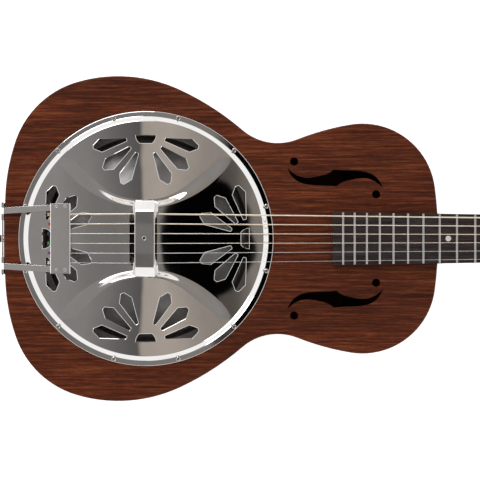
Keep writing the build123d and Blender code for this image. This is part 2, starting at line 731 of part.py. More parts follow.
with BuildPart() as shaft_blank:
    add(worm_blank.part)
    with Locations((0, 0, -LUG_AT - LUG_T / 2 - 1.3)):
        Cylinder(SHAFT_R, BUTTON_AT + LUG_AT + LUG_T / 2 + 1.3 - 1, align=STANDING)
    with Locations((0, 0, -LUG_AT - LUG_T / 2 - 0.1)):
        Cylinder(2.2, 1.2, align=HANGING)
    with Locations((0, 0, LUG_AT + LUG_T / 2 + 0.1)):
        Cylinder(2.4, 1.6, align=STANDING)

with BuildPart() as button_blank:
    with BuildSketch(Plane.XZ):
        with Locations((0, BUTTON_AT)):
            Ellipse(8.6, 6.6)
    extrude(amount=3.2, both=True)
    fillet(button_blank.edges().filter_by(GeomType.ELLIPSE), 2.0)
    with Locations((0, 0, BUTTON_AT - 6.6)):
        Cylinder(2.8, 2.4)
    with Locations((0, 0, BUTTON_AT - 1)):
        Cylinder(SHAFT_R, 20, align=HANGING, mode=Mode.SUBTRACT)

with BuildPart() as post_blank:
    with BuildSketch(Plane.XZ):
        with BuildLine():
            Polyline((0, WORM_Z - GEAR_T / 2), (2, WORM_Z - GEAR_T / 2), (2, WORM_Z + GEAR_T / 2),
                     (POST_R, WORM_Z + GEAR_T / 2), (POST_R, 7), (WAIST_R, 7.6), (WAIST_R, 13.4),
                     (POST_R, 14), (POST_R, 17), (2.2, 18), (0, 18), close=True)
        make_face()
    revolve(axis=Axis.Z)
    with Locations((0, 0, POST_STRING_Z)):
        Cylinder(0.9, 10, rotation=(0, 90, 0), mode=Mode.SUBTRACT)
    with Locations((0, 0, WORM_Z - GEAR_T / 2)):
        Cylinder(1.0, 4, align=STANDING, mode=Mode.SUBTRACT)

with BuildPart() as gear_blank:
    with BuildSketch(Plane.XY.offset(WORM_Z - GEAR_T / 2)):
        Circle(GEAR_PITCH_R + 0.4)
        with PolarLocations(GEAR_PITCH_R + 0.26, GEAR_TEETH):
            Circle(0.65, mode=Mode.SUBTRACT)
        Circle(2, mode=Mode.SUBTRACT)
    extrude(amount=GEAR_T)
    with Locations((0, 0, WORM_Z - GEAR_T / 2)):
        Cylinder(2.7, 1.3, align=HANGING)
        Cylinder(1.0, 4, align=STANDING)

for number in range(1, 7):
    side = 1 if number < 4 else -1
    station = POST_STATIONS[number - 1] if number < 4 else POST_STATIONS[6 - number]
    post = Location(Plane(origin=on_head(station, side * POST_Y, 0), x_dir=HEAD_X, z_dir=HEAD_Z))
    worm = Plane(origin=on_head(station - WORM_GAP, side * POST_Y, WORM_Z), x_dir=HEAD_X, z_dir=(0, side, 0))
    save(shaft_blank.part.moved(Location(worm)), f"worm_shaft_{number}")
    save(button_blank.part.moved(Location(worm)), f"tuner_button_{number}")
    save(post_blank.part.moved(post), f"string_post_{number}")
    save(gear_blank.part.moved(post), f"tuner_gear_{number}")
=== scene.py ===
"""Looks of the resonator guitar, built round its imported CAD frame. Metres, row frame."""
import math

import bmesh
import bpy
import numpy as np
from mathutils import Matrix, Vector


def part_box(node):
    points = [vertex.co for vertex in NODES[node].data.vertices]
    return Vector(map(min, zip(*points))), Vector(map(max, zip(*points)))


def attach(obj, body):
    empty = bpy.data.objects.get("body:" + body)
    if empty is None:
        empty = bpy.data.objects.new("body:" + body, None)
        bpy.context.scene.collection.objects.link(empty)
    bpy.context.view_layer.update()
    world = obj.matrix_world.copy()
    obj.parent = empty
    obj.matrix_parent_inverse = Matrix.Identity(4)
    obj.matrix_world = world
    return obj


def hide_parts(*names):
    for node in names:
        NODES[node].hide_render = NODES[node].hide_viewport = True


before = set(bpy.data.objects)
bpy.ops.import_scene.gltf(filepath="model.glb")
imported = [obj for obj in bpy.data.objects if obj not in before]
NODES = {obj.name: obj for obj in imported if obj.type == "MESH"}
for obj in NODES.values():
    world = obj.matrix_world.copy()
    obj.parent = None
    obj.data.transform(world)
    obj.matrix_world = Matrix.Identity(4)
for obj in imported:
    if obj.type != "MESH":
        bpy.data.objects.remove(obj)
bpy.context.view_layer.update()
MM = 0.001

# Places that everything else is measured from
COVER_LO, COVER_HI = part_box("coverplate")
COVER = Vector(((COVER_LO.x + COVER_HI.x) / 2, 0, 0))
COVER_R = (COVER_HI.x - COVER_LO.x) / 2
TOP_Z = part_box("soundboard")[1].z
BEND_X, BEND_R = COVER.x + 0.08, 0.2     # axis and radius that the grain of the bent sides is laid round


# ---------------------------------------------------------------- shader helpers

class Shader:
    """A material's node tree with short ways to add and join nodes."""

    def __init__(self, name):
        self.material = bpy.data.materials.new(name)
        self.material.use_nodes = True
        self.tree = self.material.node_tree
        self.tree.nodes.clear()
        self.bsdf = self.add("ShaderNodeBsdfPrincipled")
        out = self.add("ShaderNodeOutputMaterial")
        self.join(self.bsdf.outputs[0], out.inputs["Surface"])

    def add(self, kind, **settings):
        node = self.tree.nodes.new(kind)
        for key, value in settings.items():
            setattr(node, key, value)
        return node

    def join(self, source, target):
        self.tree.links.new(source, target)

    def set(self, **values):
        for key, value in values.items():
            self.bsdf.inputs[key.replace("_", " ")].default_value = value

    def place(self, scale, turn=(0, 0, 0)):
        """Object coordinates, scaled so that a texture's cells are 1/scale metres."""
        coords = self.add("ShaderNodeTexCoord")
        mapping = self.add("ShaderNodeMapping")
        mapping.inputs["Scale"].default_value = scale
        mapping.inputs["Rotation"].default_value = turn
        self.join(coords.outputs["Object"], mapping.inputs["Vector"])
        return mapping.outputs[0]

    def noise(self, vector, scale=1.0, detail=4.0, roughness=0.55, distortion=0.0):
        node = self.add("ShaderNodeTexNoise")
        node.inputs["Scale"].default_value = scale
        node.inputs["Detail"].default_value = detail
        node.inputs["Roughness"].default_value = roughness
        node.inputs["Distortion"].default_value = distortion
        self.join(vector, node.inputs["Vector"])
        return node.outputs[0]

    def ramp(self, factor, *stops):
        node = self.add("ShaderNodeValToRGB")
        ramp = node.color_ramp
        while len(ramp.elements) < len(stops):
            ramp.elements.new(0.5)
        for element, (at, colour) in zip(ramp.elements, stops):
            element.position = at
            element.color = colour if len(colour) == 4 else (*colour, 1)
        self.join(factor, node.inputs[0])
        return node.outputs[0]

    def mix(self, kind, factor, a, b):
        """Blend colour b over a; each may be a socket or a colour."""
        node = self.add("ShaderNodeMix", data_type="RGBA", blend_type=kind)
        for value, socket in ((factor, node.inputs[0]), (a, node.inputs[6]), (b, node.inputs[7])):
            if isinstance(value, (float, int)):
                socket.default_value = value
            elif isinstance(value, tuple):
                socket.default_value = (*value, 1)
            else:
                self.join(value, socket)
        return node.outputs[2]

    def spread(self, value, low, high):
        """Map 0..1 to low..high."""
        node = self.add("ShaderNodeMapRange")
        node.inputs["To Min"].default_value = low
        node.inputs["To Max"].default_value = high
        self.join(value, node.inputs["Value"])
        return node.outputs[0]

    def bump(self, height, distance, strength=0.5, normal=None):
        node = self.add("ShaderNodeBump")
        node.inputs["Distance"].default_value = distance
        node.inputs["Strength"].default_value = strength
        self.join(height, node.inputs["Height"])
        if normal is not None:
            self.join(normal, node.inputs["Normal"])
        self.join(node.outputs[0], self.bsdf.inputs["Normal"])
        return node.outputs[0]

    def rounded(self, radius):
        node = self.add("ShaderNodeBevel", samples=4)
        node.inputs["Radius"].default_value = radius
        return node.outputs[0]


def grey(value):
    return (value, value, value)


def wood(name, dark, mid, light, rough=0.42, pores=0.6, round_the_body=False, coat=0.0, shine=0.22):
    """Straight-grained wood along X: broad ribbons, fine fibres and short dark pores."""
    s = Shader(name)
    if round_the_body:
        coords = s.add("ShaderNodeTexCoord")
        split = s.add("ShaderNodeSeparateXYZ")
        s.join(coords.outputs["Object"], split.inputs[0])
        shifted = s.add("ShaderNodeMath", operation="SUBTRACT")
        shifted.inputs[1].default_value = BEND_X
        s.join(split.outputs[0], shifted.inputs[0])
        angle = s.add("ShaderNodeMath", operation="ARCTAN2")
        s.join(split.outputs[1], angle.inputs[0])
        s.join(shifted.outputs[0], angle.inputs[1])
        along = s.add("ShaderNodeMath", operation="MULTIPLY")
        along.inputs[1].default_value = BEND_R
        s.join(angle.outputs[0], along.inputs[0])
        joined = s.add("ShaderNodeCombineXYZ")
        s.join(along.outputs[0], joined.inputs[0])
        s.join(split.outputs[2], joined.inputs[1])
        source = joined.outputs[0]
    else:
        source = s.add("ShaderNodeTexCoord").outputs["Object"]

    def layer(x, y):
        """The grain's coordinates at a scale along it and another across it."""
        mapping = s.add("ShaderNodeMapping")
        mapping.inputs["Scale"].default_value = (x, y, y)
        s.join(source, mapping.inputs["Vector"])
        return mapping.outputs[0]

    ribbon = s.noise(layer(3.5, 30), detail=3, distortion=0.5)
    streak = s.noise(layer(16, 420), detail=4, roughness=0.65, distortion=0.25)
    fibre = s.noise(layer(110, 1300), detail=3, roughness=0.7)
    pore = s.noise(layer(170, 1700), detail=1)
    base = s.ramp(streak, (0.34, dark), (0.50, mid), (0.66, light))
    tone = s.ramp(ribbon, (0.32, grey(0.74)), (0.5, grey(1.0)), (0.68, grey(1.2)))
    colour = s.mix("MULTIPLY", 1.0, base, tone)
    hair = s.ramp(fibre, (0.32, grey(0.60)), (0.5, grey(1.0)), (0.68, grey(1.5)))
    colour = s.mix("MULTIPLY", 0.9, colour, hair)
    pits = s.ramp(pore, (0.60, grey(1.0)), (0.70, grey(0.42)))
    colour = s.mix("MULTIPLY", pores, colour, pits)
    s.join(colour, s.bsdf.inputs["Base Color"])
    s.join(s.spread(streak, rough - 0.06, rough + 0.1), s.bsdf.inputs["Roughness"])
    s.bump(pits, 0.0001, 0.3)
    s.set(Coat_Weight=coat, Coat_Roughness=0.25, Specular_IOR_Level=shine)
    return s.material


def metal(name, colour, rough=0.06, wave=0.0, smudge=0.05, edge=0.0, brushed=None, scale=60):
    """Plated or bare metal with faint smudges, slow waviness of the sheet and rounded edges."""
    s = Shader(name)
    cells = s.place((scale, scale, scale) if brushed is None else brushed)
    haze = s.noise(cells, detail=5, roughness=0.6)
    s.join(s.mix("MULTIPLY", 0.25, colour, s.ramp(haze, (0.3, grey(0.75)), (0.7, grey(1.0)))),
           s.bsdf.inputs["Base Color"])
    s.join(s.spread(haze, rough, rough + smudge), s.bsdf.inputs["Roughness"])
    normal = s.rounded(edge) if edge else None
    if brushed is not None:
        s.bump(haze, 0.00003, 0.4, normal)
    elif wave:
        s.bump(s.noise(s.place(grey(11)), detail=2), wave, 0.5, normal)
    else:
        s.bump(s.noise(s.place(grey(900)), detail=2), 0.000004, 0.3, normal)
    s.set(Metallic=1.0)
    return s.material


def spun(name, colour):
    """Spun aluminium: fine rings round the cone's axis and dull clouds."""
    s = Shader(name)
    coords = s.add("ShaderNodeTexCoord")
    mapping = s.add("ShaderNodeMapping")
    mapping.inputs["Location"].default_value = (-COVER.x, 0, 0)
    s.join(coords.outputs["Object"], mapping.inputs["Vector"])
    rings = s.add("ShaderNodeTexWave", wave_type="RINGS", rings_direction="Z", wave_profile="SIN")
    rings.inputs["Scale"].default_value = 320
    rings.inputs["Distortion"].default_value = 1.5
    s.join(mapping.outputs[0], rings.inputs["Vector"])
    clouds = s.noise(s.place(grey(35)), detail=5)
    s.join(s.mix("MULTIPLY", 0.5, colour, s.ramp(clouds, (0.3, grey(0.6)), (0.7, grey(1.0)))),
           s.bsdf.inputs["Base Color"])
    s.join(s.spread(clouds, 0.42, 0.56), s.bsdf.inputs["Roughness"])
    s.bump(rings.outputs[0], 0.00006, 0.5)
    s.set(Metallic=1.0)
    return s.material


def wound(name, colour, pitch):
    """Round-wound string: ridges across the string's length."""
    s = Shader(name)
    waves = s.add("ShaderNodeTexWave", wave_type="BANDS", bands_direction="X", wave_profile="SIN")
    waves.inputs["Scale"].default_value = 0.05 / pitch * math.tau
    s.join(s.place(grey(1)), waves.inputs["Vector"])
    tarnish = s.noise(s.place(grey(40)), detail=3)
    s.join(s.mix("MULTIPLY", 0.6, colour, s.ramp(tarnish, (0.3, grey(0.8)), (0.7, grey(1.0)))),
           s.bsdf.inputs["Base Color"])
    s.bump(waves.outputs[0], 0.0001, 0.6)
    s.set(Metallic=1.0, Roughness=0.34)
    return s.material


def plain(name, colour, rough=0.45, grain=300, depth=0.00003, coat=0.0):
    """Moulded or carved solid with a fine grain and slight cloudiness."""
    s = Shader(name)
    cloud = s.noise(s.place(grey(grain)), detail=4)
    s.join(s.mix("MULTIPLY", 0.5, colour, s.ramp(cloud, (0.3, grey(0.8)), (0.7, grey(1.1)))),
           s.bsdf.inputs["Base Color"])
    s.join(s.spread(cloud, rough - 0.05, rough + 0.08), s.bsdf.inputs["Roughness"])
    s.bump(cloud, depth, 0.4)
    s.set(Coat_Weight=coat)
    return s.material


# ---------------------------------------------------------------- materials

CHROME = (0.78, 0.765, 0.75)
MAHOGANY = (0.044, 0.0085, 0.0034), (0.098, 0.0195, 0.0058), (0.178, 0.044, 0.0135)
mahogany_top = wood("mahogany_top", *MAHOGANY)
mahogany_side = wood("mahogany_side", *MAHOGANY, round_the_body=True)
neck_wood = wood("neck_wood", *MAHOGANY, rough=0.46)
# Wood inside the body, made far darker than bare wood: painted shade, so the inside reads black through the
# openings.
shade_darkened_inner_wood = wood("shade_darkened_inner_wood", (0.035, 0.020, 0.010), (0.055, 0.034, 0.018), (0.080, 0.052, 0.030),
                  rough=0.8, pores=0.2, shine=0.1)
maple = wood("maple", (0.42, 0.27, 0.14), (0.58, 0.41, 0.24), (0.68, 0.51, 0.32), rough=0.55, pores=0.15)
board_wood = wood("board_wood", (0.022, 0.015, 0.015), (0.038, 0.028, 0.028), (0.058, 0.043, 0.043),
                  rough=0.55, pores=0.3, shine=0.12)
# Biscuit wood made near black: painted shade for where it lies beneath the coverplate and the hand rest.
shade_darkened_biscuit_wood = wood("shade_darkened_biscuit_wood", (0.006, 0.005, 0.004), (0.010, 0.008, 0.007), (0.015, 0.012, 0.010),
                    rough=0.6, pores=0.2, shine=0.1)
overlay_wood = wood("overlay_wood", (0.022, 0.014, 0.012), (0.045, 0.031, 0.027), (0.075, 0.052, 0.045),
                    rough=0.3, coat=0.4)
chrome = metal("chrome_sheet", CHROME, rough=0.02, wave=0.0005, smudge=0.02)
chrome_edge = metal("chrome_edge", CHROME, rough=0.07, smudge=0.06)
tail_metal = metal("tail_metal", (0.95, 0.93, 0.91), rough=0.07, smudge=0.06)
nickel = metal("nickel", (0.70, 0.68, 0.65), rough=0.12, smudge=0.12, edge=0.0003, scale=120)
steel = metal("steel", (0.62, 0.62, 0.62), rough=0.22, brushed=(60, 900, 900), edge=0.0002)
fret_metal = metal("fret_metal", (0.64, 0.63, 0.61), rough=0.42, brushed=(900, 40, 900))
brass = metal("brass", (0.66, 0.46, 0.20), rough=0.25, smudge=0.15, edge=0.0002, scale=200)
aluminium = spun("spun_aluminium", (0.66, 0.65, 0.65))
bronze_wound = wound("bronze_wound", (0.98, 0.86, 0.70), 0.0008)
plain_wire = metal("plain_wire", (0.92, 0.92, 0.92), rough=0.34, scale=500)
bone = plain("bone", (0.76, 0.71, 0.58), rough=0.35, coat=0.3)
pearl = plain("pearl", (0.80, 0.79, 0.76), rough=0.2, grain=420, coat=0.8)
black_gloss = plain("black_gloss", (0.014, 0.014, 0.015), rough=0.12, grain=700, depth=0.00001, coat=0.5)
button_dark = plain("button_dark", (0.060, 0.045, 0.045), rough=0.35, coat=0.3)
BALL_COLOURS = ((0.62, 0.42, 0.20), (0.50, 0.07, 0.04), (0.020, 0.020, 0.045), (0.05, 0.26, 0.09),
                (0.20, 0.06, 0.24), (0.62, 0.62, 0.62))

NODE_MATERIALS = {
    "soundboard": mahogany_top, "back_panel": mahogany_top, "bass_side": mahogany_side,
    "treble_side": mahogany_side, "braces_and_linings": shade_darkened_inner_wood, "neck_block": shade_darkened_inner_wood,
    "tail_block": shade_darkened_inner_wood, "soundwell": shade_darkened_inner_wood, "resonator_cone": aluminium, "biscuit": shade_darkened_biscuit_wood,
    "saddle": maple, "biscuit_screw": steel, "coverplate": chrome, "hand_rest": chrome,
    "body_screws": nickel, "tailpiece": tail_metal, "tailpiece_hinge": nickel,
    "strap_button": button_dark, "neck": neck_wood, "fretboard": board_wood, "frets": fret_metal,
    "nut": bone, "position_dots": pearl, "headstock_overlay": overlay_wood, "truss_rod": steel,
    "truss_rod_nut": brass, "truss_rod_cover": black_gloss, "headstock_screws": nickel,
    "tuner_plates": nickel, "tuner_bushings": nickel,
}
for number in range(1, 7):
    NODE_MATERIALS[f"string_{number}"] = bronze_wound if number < 5 else plain_wire
    NODE_MATERIALS[f"tuner_button_{number}"] = nickel
    NODE_MATERIALS[f"worm_shaft_{number}"] = nickel
    NODE_MATERIALS[f"string_post_{number}"] = nickel
    NODE_MATERIALS[f"tuner_gear_{number}"] = brass
for node, material in NODE_MATERIALS.items():
    for held in NODES[node].material_slots:
        held.material = material


# ---------------------------------------------------------------- mesh helpers

def mesh_object(name, points, faces, material, smooth=30):
    """A mesh object from points and faces, smooth below an angle in degrees."""
    mesh = bpy.data.meshes.new(name)
    mesh.from_pydata([tuple(p) for p in points], [], [tuple(f) for f in faces])
    mesh.update()
    mesh.polygons.foreach_set("use_smooth", [True] * len(mesh.polygons))
    mesh.set_sharp_from_angle(angle=math.radians(smooth))
    mesh.materials.append(material)
    made = bpy.data.objects.new(name, mesh)
    bpy.context.scene.collection.objects.link(made)
    return made


def apply_modifiers(made):
    """Replace an object's mesh by what its modifiers make of it."""
    graph = bpy.context.evaluated_depsgraph_get()
    mesh = bpy.data.meshes.new_from_object(made.evaluated_get(graph))
    made.modifiers.clear()
    made.data = mesh


def prism(outline, low, high):
    """Points and faces of an upright prism over a counter-clockwise outline."""
    count = len(outline)
    points = [(x, y, low) for x, y in outline] + [(x, y, high) for x, y in outline]
    faces = [tuple(reversed(range(count))), tuple(range(count, 2 * count))]
    faces += [(i, (i + 1) % count, count + (i + 1) % count, count + i) for i in range(count)]
    return points, faces


def rounded_outline(corners, radius, steps=5):
    """A polygon with its corners rounded."""
    corners = [Vector(c) for c in corners]
    outline = []
    for i, corner in enumerate(corners):
        before = (corners[i - 1] - corner).normalized()
        after = (corners[(i + 1) % len(corners)] - corner).normalized()
        half = before.angle(after) / 2
        cut = radius / math.tan(half)
        middle = corner + (before + after).normalized() * radius / math.sin(half)
        start = corner + before * cut - middle
        turn = math.pi - 2 * half
        sign = 1 if before.cross(after) < 0 else -1
        for k in range(steps + 1):
            outline.append(middle + Matrix.Rotation(sign * turn * k / steps, 2) @ start)
    return [tuple(p) for p in outline]


def in_metres(pairs):
    """Pairs given in millimetres."""
    return [(a * MM, b * MM) for a, b in pairs]


def turned(outline, angle, at):
    """An outline turned by an angle and moved."""
    c, s = math.cos(angle), math.sin(angle)
    return [(at[0] + c * x - s * y, at[1] + s * x + c * y) for x, y in outline]


def disc(radius, at, steps=24):
    """Outline of a round hole or plug."""
    angles = [math.tau * k / steps for k in range(steps)]
    return [(at[0] + radius * math.cos(a), at[1] + radius * math.sin(a)) for a in angles]


def swept(path, radius, sides=14, closed=False):
    """Points and faces of a round tube along a path."""
    path = [Vector(p) for p in path]
    count, points, faces, side = len(path), [], [], None
    for k, at in enumerate(path):
        if closed:
            along = path[(k + 1) % count] - path[k - 1]
        else:
            along = path[min(k + 1, count - 1)] - path[max(k - 1, 0)]
        along.normalize()
        side = along.orthogonal() if side is None else side
        side = (side - along * side.dot(along)).normalized()
        up = along.cross(side)
        points += [at + (side * math.cos(a) + up * math.sin(a)) * radius
                   for a in (math.tau * j / sides for j in range(sides))]
    for k in range(count if closed else count - 1):
        for j in range(sides):
            a, b = k * sides + j, k * sides + (j + 1) % sides
            c, d = (a + sides) % (count * sides), (b + sides) % (count * sides)
            faces.append((a, b, d, c))
    if not closed:
        faces += [tuple(reversed(range(sides))), tuple(range((count - 1) * sides, count * sides))]
    return points, faces


def lathed(profile, place, steps=32):
    """Points and faces of a profile of radius and height turned about the z axis of a matrix."""
    points = [place @ Vector((r * math.cos(a), r * math.sin(a), z)) for r, z in profile
              for a in (math.tau * j / steps for j in range(steps))]
    faces = []
    for i in range(len(profile) - 1):
        for j in range(steps):
            a, b = i * steps + j, i * steps + (j + 1) % steps
            faces.append((a, b, b + steps, a + steps))
    return points, faces


def slab(profile, low, high):
    """Points and faces of an XZ profile drawn out along Y; low and high give Y from X."""
    count = len(profile)
    points = [(x, low(x), z) for x, z in profile] + [(x, high(x), z) for x, z in profile]
    faces = [tuple(range(count)), tuple(reversed(range(count, 2 * count)))]
    faces += [((i + 1) % count, i, count + i, count + (i + 1) % count) for i in range(count)]
    return points, faces


def joined(*parts):
    """Points and faces of several parts as one mesh."""
    points, faces = [], []
    for more, sides in parts:
        faces += [tuple(k + len(points) for k in face) for face in sides]
        points += [tuple(p) for p in more]
    return points, faces


def drilled(made, tool):
    """Cut a tool object's shape out of an object and drop the tool."""
    cut = made.modifiers.new("cut", "BOOLEAN")
    cut.operation, cut.solver, cut.object = "DIFFERENCE", "MANIFOLD", tool
    apply_modifiers(made)
    bpy.data.objects.remove(tool)


def facing_out(made):
    """Turn an object's faces outwards."""
    work = bmesh.new()
    work.from_mesh(made.data)
    bmesh.ops.recalc_face_normals(work, faces=work.faces)
    work.to_mesh(made.data)
    work.free()


def bevelled(made, width, segments, angle):
    """Round an object's edges that are sharper than an angle in degrees."""
    bevel = made.modifiers.new("bevel", "BEVEL")
    bevel.width, bevel.segments, bevel.limit_method = width, segments, "ANGLE"
    bevel.angle_limit = math.radians(angle)
    apply_modifiers(made)
    flat_faced(made)


def flat_faced(made, angle=35):
    """Keep large faces flat where they meet narrow rounded ones."""
    made.data.set_sharp_from_angle(angle=math.radians(angle))
    weigh = made.modifiers.new("weigh", "WEIGHTED_NORMAL")
    weigh.keep_sharp, weigh.weight = True, 80
    apply_modifiers(made)


def piece(made, body, slot, *nodes):
    """Hang a finished piece on the empty of the body that it rides on and hide the nodes that it stands for;
    slot is not used.
    """
    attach(made, body)
    if nodes:
        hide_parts(*nodes)
    return made


# ---------------------------------------------------------------- coverplate

# Heights of the low dome's middle, the step's top and the flange
CROWN, RIM_TOP, FLANGE_TOP = COVER_LO.z + 9.2 * MM, COVER_LO.z + 5 * MM, COVER_LO.z + 1.2 * MM
SHEET = 1.2 * MM
STEP_IN, STEP_OUT = 128.6 * MM, 134 * MM     # radii where the step starts and ends
EDGE_ROLL = 1.0 * MM
LOBE_TOP = COVER_HI.z
LOBE_RIDGE, LOBE_MID, LOBE_FALL = 38 * MM, 84 * MM, 4.4 * MM
WALL_Y, WALL_R = 0.147, 0.1135               # middle and radius of the round wall at a lobe's inner side
WALL_WIDTH, WALL_SPREAD = 8.5 * MM, 8 * MM   # at the hand rest, and what it gains away from it
FAN_R = 112.9 * MM                           # from the middle to where a fan's petals meet
SCREWS, SCREW_RING, SCREW_HOLE = 12, 136.5 * MM, 1.5 * MM
LIP, LIP_DROP, LIP_DEPTH = 0.4 * MM, 0.36 * MM, 1.15 * MM
COVER_SIDES = 480


def ease(t):
    t = np.clip(t, 0, 1)
    return t * t * (3 - 2 * t)


def circle_height(r, *through):
    """Height over r of the arc through three points, each a radius and a height."""
    (a, p), (b, q), (c, t) = through
    rows = np.array([[a - b, p - q], [b - c, q - t]]) * 2
    across, up = np.linalg.solve(rows, [a * a - b * b + p * p - q * q, b * b - c * c + q * q - t * t])
    size = math.hypot(a - across, p - up)
    return up + np.sqrt(np.maximum(size**2 - (r - across) ** 2, 0))


def cover_height(x, y):
    """Height of the coverplate's outer face over a point measured from its middle."""
    r = np.hypot(x, y)
    low = CROWN - (CROWN - RIM_TOP) * (r / STEP_IN) ** 2
    high = circle_height(r, (LOBE_RIDGE, LOBE_TOP), (LOBE_MID, LOBE_TOP - LOBE_FALL), (STEP_IN, RIM_TOP))
    width = WALL_WIDTH + WALL_SPREAD * ease((abs(x + 6 * MM) - 22 * MM) / (48 * MM))
    wall = ease((WALL_R - np.hypot(x, abs(y) - WALL_Y)) / width)
    dome = low + wall * np.maximum(high - low, 0)
    ramp = np.clip((STEP_OUT - r) / (STEP_OUT - STEP_IN), 0, 1)
    step = FLANGE_TOP + (RIM_TOP - FLANGE_TOP) * (0.75 * ramp + 0.25 * ease(ramp))
    turn = np.clip((r - COVER_R + EDGE_ROLL) / EDGE_ROLL, 0, 1)
    edge = SHEET * (1 - np.sqrt(1 - turn**2))
    return np.where(r < STEP_IN, dome, step) - np.where(r > STEP_OUT, edge, 0)


def cover_rings():
    """Radii of the coverplate's mesh rings, closer at the step and the edge."""
    inner = np.arange(2, 126, 1.25)
    step = np.arange(126, 136, 0.45)
    flange, edge = np.arange(136.2, 138.4, 1.0), [138.8, 139.1, 139.4, 139.6, COVER_R / MM]
    return np.concatenate([inner, step, flange, edge]) * MM


def cover_openings():
    """Outlines of the fans and of the middle opening."""
    petal = rounded_outline([(21.5 * MM, -1.6 * MM), (50.5 * MM, -7.3 * MM), (58.8 * MM, -1.8 * MM),
                             (58.8 * MM, 1.8 * MM), (50.5 * MM, 7.3 * MM), (21.5 * MM, 1.6 * MM)], 0.8 * MM)
    moon_r, moon_depth = 11.1, 8.8
    round_side = [(moon_depth * MM * t, MM * math.sqrt(moon_r**2 - (moon_depth * t) ** 2))
                  for t in (0, 0.25, 0.48, 0.68, 0.85, 1)]
    moon = [(x, -y) for x, y in round_side] + round_side[::-1]
    shapes = []
    for quarter in range(4):
        out = quarter * math.pi / 2
        focus = (FAN_R * math.cos(out), FAN_R * math.sin(out))
        for k in (-3, -2, -1, 1, 2, 3):
            shapes.append(turned(petal, out + math.pi + k * math.pi / 7, focus))
        shapes.append(turned(moon, out + math.pi, focus))
    shapes.append(rounded_outline([(-17.7 * MM, -33 * MM), (12.3 * MM, -33 * MM), (12.3 * MM, 33 * MM),
                                   (-17.7 * MM, 33 * MM)], 10 * MM, 8))
    return shapes


def grown(outline, amount):
    """A convex outline moved outwards."""
    made = []
    for i, corner in enumerate(outline):
        corner, before = Vector(corner), Vector(outline[i - 1])
        after = Vector(outline[(i + 1) % len(outline)])
        a, b = (corner - before).normalized(), (after - corner).normalized()
        out = (Vector((a.y, -a.x)) + Vector((b.y, -b.x))).normalized()
        made.append(tuple(corner + out * amount / max(out.dot(Vector((b.y, -b.x))), 0.5)))
    return made


def finer(outline, step):
    """An outline with its long edges divided."""
    made = []
    for i, corner in enumerate(outline):
        corner, after = Vector(corner), Vector(outline[(i + 1) % len(outline)])
        parts = max(1, round((after - corner).length / step))
        made += [tuple(corner.lerp(after, k / parts)) for k in range(parts)]
    return made


def make_lips():
    """The turned-down edges of the coverplate's openings."""
    points, faces = [], []
    for outline in cover_openings():
        inner = np.array(finer(outline, 1.2 * MM))
        outer = np.array(grown([tuple(p) for p in inner], LIP + 0.08 * MM))
        top = cover_height(outer[:, 0], outer[:, 1]) - 0.01 * MM
        rim = cover_height(inner[:, 0], inner[:, 1])
        rows = [np.column_stack([outer, top]), np.column_stack([inner, rim - LIP_DROP]),
                np.column_stack([inner, rim - LIP_DEPTH]), np.column_stack([outer, top - LIP_DEPTH])]
        count, start = len(inner), len(points)
        for row in rows:
            points += [tuple(p) for p in row]
        for i in range(4):
            for j in range(count):
                a, b = start + i * count + j, start + i * count + (j + 1) % count
                c, d = start + (i + 1) % 4 * count + j, start + (i + 1) % 4 * count + (j + 1) % count
                faces.append((a, b, d, c))
    lips = mesh_object("cover_lips", points, faces, chrome, smooth=20)
    lips.data.transform(Matrix.Translation(COVER))
    return lips


def make_cover():
    """The coverplate as a smooth pressed sheet with its openings cut through."""
    radii, around = cover_rings(), COVER_SIDES
    angles = np.arange(around) * 2 * np.pi / around
    x, y = np.outer(radii, np.cos(angles)), np.outer(radii, np.sin(angles))
    z = cover_height(x, y)
    top = np.stack([x, y, z], -1).reshape(-1, 3)
    low = top - (0, 0, SHEET)
    low[-around:, 2] = COVER_LO.z
    low[:, 2] = np.maximum(low[:, 2], COVER_LO.z)
    top[-around:, 2] = np.maximum(top[-around:, 2], COVER_LO.z + 0.2 * MM)
    rows = len(radii)
    faces = []
    for i in range(rows - 1):
        for j in range(around):
            a, b = i * around + j, i * around + (j + 1) % around
            faces.append((a, a + around, b + around, b))
            c, d = a + rows * around, b + rows * around
            faces.append((d, d + around, c + around, c))
    for j in range(around):
        k = (j + 1) % around
        inner, outer = rows * around, (rows - 1) * around
        faces.append((j, k, k + inner, j + inner))
        faces.append((outer + k, outer + j, outer + j + inner, outer + k + inner))
    cover = mesh_object("cover_sheet", np.concatenate([top, low]), faces, chrome)
    points, holes = [], []
    shapes = [grown(shape, LIP) for shape in cover_openings()]
    for k in range(SCREWS):
        a = math.tau * (k + 0.5) / SCREWS
        shapes.append(disc(SCREW_HOLE, (SCREW_RING * math.cos(a), SCREW_RING * math.sin(a)), 16))
    for shape in shapes:
        more, sides = prism(shape, COVER_LO.z - 0.01, COVER_HI.z + 0.01)
        holes += [tuple(k + len(points) for k in face) for face in sides]
        points += more
    drilled(cover, mesh_object("cover_cutter", points, holes, chrome))
    smooth_as_pressed(cover.data)
    cover.data.transform(Matrix.Translation(COVER))
    return cover


